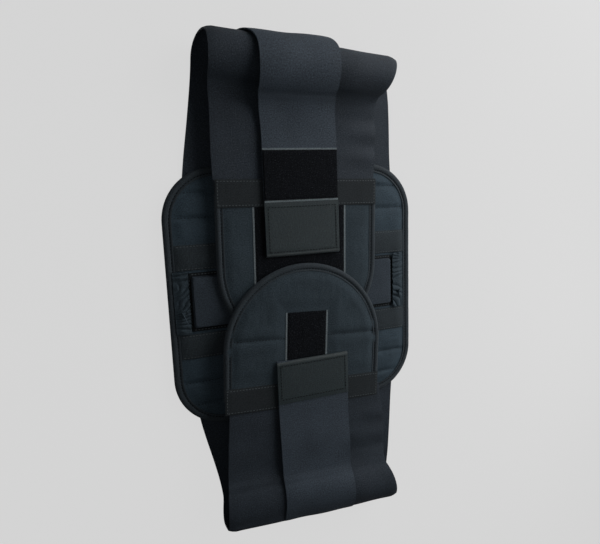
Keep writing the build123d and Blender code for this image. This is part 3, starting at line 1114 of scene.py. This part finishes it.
# peeling strap ends, with a folded tab at each tip
tabs = {"half": 38.3, "round": 2.6, "hem": 3.4, "tipHem": 4.6, "hemReach": 1.2, "hemDepth": 0.25,
        "rim": 0.9, "rimDrop": 0.35, "highlightBand": 3.2, "thickness": 0.9, "hidden": 1.2,
        "turnedUnder": 2.8}
for side in ("left", "right"):
    way = bands[side]["way"]
    flap, endBody = f"{side}_flap", f"{side}_strap_end"
    strapTop = nodeBox(f"{side}_strap_end")[1].z
    tabLow, tabHigh = nodeBox(f"{side}_pull_tab")
    tip, tabEnd = sorted((way * tabLow.y, way * tabHigh.y))
    fold = foldFacts(side, "pull_strap")
    peel = fold["lastY"]
    joinY = peel + bands["pull_strap"]["join"]
    shiftX = bands[side]["pull_strap"]["shift"][-1]
    joinRun = fold["rearRun"] + fold["arc"] + fold["back"] + fold["endY"] - joinY
    whole = joinRun + joinY - peel
    strapPlace = layerPlace(side, "pull_strap", fold, (0, 1), strapHalf)

    def endPlace(u, v):
        # goes on from the layer, and straight ahead past its end
        y = joinY + v * (tip + tabs["hidden"] - joinY)  # ends inside the tab
        run = joinRun + joinY - y
        reached = min(run, whole)
        (x, strapY, z), cloth = strapPlace(u, reached)
        ahead = y - (joinY - (reached - joinRun))
        return (x, strapY + way * ahead, z), (cloth if run <= whole else (cloth[0], run))

    columns = round(2 * bands["pull_strap"]["half"] / bands["columnStep"])
    webbing = gridPiece(f"{side}StrapEnd", columns, round((joinY - tip) / bands["rowStep"]), endPlace)
    turnFacesOut(webbing)
    thicken(webbing, bands["pull_strap"]["endThickness"], 0)
    smoothShade(webbing, 50)
    setMaterials(webbing, cloths["strap"])
    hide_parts(f"{side}_strap_end")
    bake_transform(webbing)

    def tabPlace(u, v):
        y = tip + v * v * (tabEnd - tip)  # rows gather at the tip
        rolled = max(0.0, tabs["round"] - (y - tip))
        fall = tabs["round"] - math.sqrt(tabs["round"] ** 2 - rolled ** 2)
        x = (2 * u - 1) * tabs["half"] + shiftX
        inward = min(tabs["half"] - abs(x - shiftX), tabEnd - y)
        hems = bump(inward, tabs["hem"], tabs["hemReach"]) + bump(y - tip, tabs["tipHem"], tabs["hemReach"])
        z = tabHigh.z - fall - tabs["hemDepth"] * hems
        z -= tabs["rimDrop"] * (1 - smooth(inward, 0, tabs["rim"]))
        return (x, way * y, z + 0.12 * ripple(x, y, 14, 41.0)), (x, y)

    tab = gridPiece(f"{side}PullTab", 40, 40, tabPlace)
    turnFacesOut(tab)
    setMaterials(tab, cloths["tab"], cloths["tabEdgeHighlight"])
    # the folded tip gets the lighter cloth as a painted highlight along the fold
    for face in tab.data.polygons:
        face.material_index = 1 if way * face.center.y / mm - tip < tabs["highlightBand"] else 0
    thicken(tab, tabs["thickness"])
    smoothShade(tab, 50)
    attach(tab, endBody)
    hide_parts(f"{side}_pull_tab")
    length = tabEnd - tip + tabs["turnedUnder"]
    hemHalf = tabs["half"] - tabs["hem"]
    yA, yB = sorted((way * (tip + tabs["tipHem"]), way * (tabEnd - tabs["tipHem"])))
    stitchPiece(f"{side}TabStitches", [rectangleLine(shiftX - hemHalf, shiftX + hemHalf, yA, yB)],
                lambda x, y: tabHigh.z + 0.1, endBody, darkThreadAndGrooveShade, "tab_webbing")
    if side == "left":
        patchLow, patchHigh = nodeBox("left_strap_loop_patch")
        loopPatch("leftStrapLoopPatch", patchLow.x + shiftX, patchHigh.x + shiftX, patchLow.y, patchHigh.y,
                  lambda x, y: strapTop - 0.1, 1.2, "y", endBody, "left_strap_loop_patch", None)
        rowsY = (patchLow.y + loops["stitchInset"], patchHigh.y - loops["stitchInset"])
        rows = [[(patchLow.x + 1, y), (patchHigh.x - 1, y)] for y in rowsY]
        stitchPiece("strapPatchStitches", rows, lambda x, y: strapTop + 0.4, endBody, darkThreadAndGrooveShade, "loop_pile")
print("strap ends made")


# hook patches, faces down
hooks = {"cell": 2, "sheet": 0.3, "pitch": 2.6, "stem": 0.5, "root": 0.42, "tip": 0.22, "inset": 1.5,
         "fromRim": 12.5}


def hookPatch(name, node, keep, body, turn=None):
    low, high = nodeBox(node)
    wide, long = high.x - low.x, high.y - low.y

    def place(u, v):
        x, y = low.x + u * wide, low.y + v * long
        return (x, y, high.z - 0.02), (x, y)

    piece = gridPiece(name, round(wide / hooks["cell"]), round(long / hooks["cell"]), place)
    cutAway(piece, keep)
    thicken(piece, hooks["sheet"])
    bpy.ops.object.select_all(action="DESELECT")
    bpy.ops.mesh.primitive_cone_add(vertices=5, radius1=hooks["root"], radius2=hooks["tip"], depth=1)
    stem = bpy.context.object
    stem.data.transform(Matrix.Diagonal((1, 1, -hooks["stem"], 1)))
    grown = bmesh.new()
    stemZ = high.z - hooks["sheet"] - hooks["stem"] / 2 + 0.05
    columns, rows = (int((length - 2 * hooks["inset"]) / hooks["pitch"]) + 1 for length in (wide, long))
    for i in range(columns):
        for j in range(rows):
            x = low.x + hooks["inset"] + (i + 0.5 * (j % 2)) * hooks["pitch"]
            y = low.y + hooks["inset"] + j * hooks["pitch"]
            if x > high.x - 1 or not keep(x, y):
                continue
            before = len(grown.verts)
            grown.from_mesh(stem.data)
            grown.verts.ensure_lookup_table()
            move = Matrix.Scale(mm, 4) @ Matrix.Translation((x, y, stemZ))
            bmesh.ops.transform(grown, matrix=move, verts=grown.verts[before:])
    bmesh.ops.recalc_face_normals(grown, faces=grown.faces)
    mesh = bpy.data.meshes.new(f"{name}Stems")
    grown.to_mesh(mesh)
    grown.free()
    bpy.data.objects.remove(stem)
    stems = bpy.data.objects.new(f"{name}Stems", mesh)
    bpy.context.collection.objects.link(stems)
    for part in (piece, stems):
        if turn:
            turnOver(part, *turn)
        finish(part, cloths["hook"], "hook_patch", body)
    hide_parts(node)


for side in ("left", "right"):
    hookPatch(f"{side}StrapHooks", f"{side}_strap_hook_patch", lambda x, y: True, f"{side}_strap_end")
panel = panelFacts("right")
hookPatch("rightFrontHooks", "right_front_hook_patch",
          lambda x, y: domeInward(panel, x, y) > hooks["fromRim"], "right_flap", panelTurn("right", panel))
print("hook patches made")


# floor, light and camera
studio = {
    "floorSize": 12,
    "pale": 0.69,  # what the camera sees of the floor and the sky
    "palePart": 0.93,  # the rest of the floor keeps the shadow
    "fill": 0.085,
    "lens": 30,
    "sensor": 36,
    "cameraPlace": (-0.1811, 0.1005, 0.4737),
    "cameraTurn": (-8.45, -21.67, -2.27),
    "lamps": (  # name, place, target, size and watts
        ("keyLight", (0.44, 0.42, 0.30), (0.0, 0.0, 0.0), 0.6, 4.5),
        ("sideLight", (0.42, -0.10, 0.27), (0.0, -0.10, 0.0), 0.35, 0.95),
        ("leftLight", (-0.45, 0.05, 0.38), (0.0, 0.0, 0.0), 0.35, 0.3),
    ),
}
bpy.ops.object.select_all(action="DESELECT")
bpy.ops.mesh.primitive_plane_add(size=studio["floorSize"])
floor = bpy.context.object
floor.name = "paleFloor"
floor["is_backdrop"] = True
paint, nodes, links, matt = newMaterial("pale floor", 0.9, 0.5)
matt.inputs["Base Color"].default_value = (0.62, 0.62, 0.62, 1)
flatWhite = nodes.new("ShaderNodeEmission")
flatWhite.inputs["Color"].default_value = (studio["pale"],) * 3 + (1,)
rays = nodes.new("ShaderNodeLightPath")
share = mathNode(nodes, links, "MULTIPLY", rays.outputs["Is Camera Ray"], studio["palePart"])
mixed = nodes.new("ShaderNodeMixShader")
for socket, value in enumerate((share, matt.outputs[0], flatWhite.outputs[0])):
    links.new(value, mixed.inputs[socket])
links.new(mixed.outputs[0], nodes["Material Output"].inputs["Surface"])
floor.data.materials.append(paint)

world = bpy.data.worlds.new("studio")
bpy.context.scene.world = world
world.use_nodes = True
nodes, links = world.node_tree.nodes, world.node_tree.links
dimSky = nodes["Background"]
dimSky.inputs["Color"].default_value = (1, 1, 1, 1)
dimSky.inputs["Strength"].default_value = studio["fill"]
paleSky = nodes.new("ShaderNodeBackground")
paleSky.inputs["Color"].default_value = (studio["pale"],) * 3 + (1,)
rays = nodes.new("ShaderNodeLightPath")
mixed = nodes.new("ShaderNodeMixShader")
for socket, value in enumerate((rays.outputs["Is Camera Ray"], dimSky.outputs[0], paleSky.outputs[0])):
    links.new(value, mixed.inputs[socket])
links.new(mixed.outputs[0], nodes["World Output"].inputs["Surface"])


for name, place, target, size, watts in studio["lamps"]:
    lamp = bpy.data.lights.new(name, "AREA")
    lamp.shape = "DISK"
    lamp.size = size
    lamp.energy = watts
    lampObject = bpy.data.objects.new(name, lamp)
    lampObject.location = place
    lampObject.rotation_euler = (Vector(target) - Vector(place)).to_track_quat("-Z", "Y").to_euler()
    lampObject.visible_camera = False
    bpy.context.collection.objects.link(lampObject)

camera = bpy.data.cameras.new("camera")
camera.lens = studio["lens"]
camera.sensor_width = studio["sensor"]
camera.clip_start = 0.01
camera.clip_end = 20
cameraObject = bpy.data.objects.new("camera", camera)
cameraObject.location = studio["cameraPlace"]
cameraObject.rotation_euler = [math.radians(a) for a in studio["cameraTurn"]]
bpy.context.collection.objects.link(cameraObject)
bpy.context.scene.camera = cameraObject
bpy.context.scene.view_settings.view_transform = "Standard"

bpy.context.view_layer.update()
low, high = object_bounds()
print("scene ready")
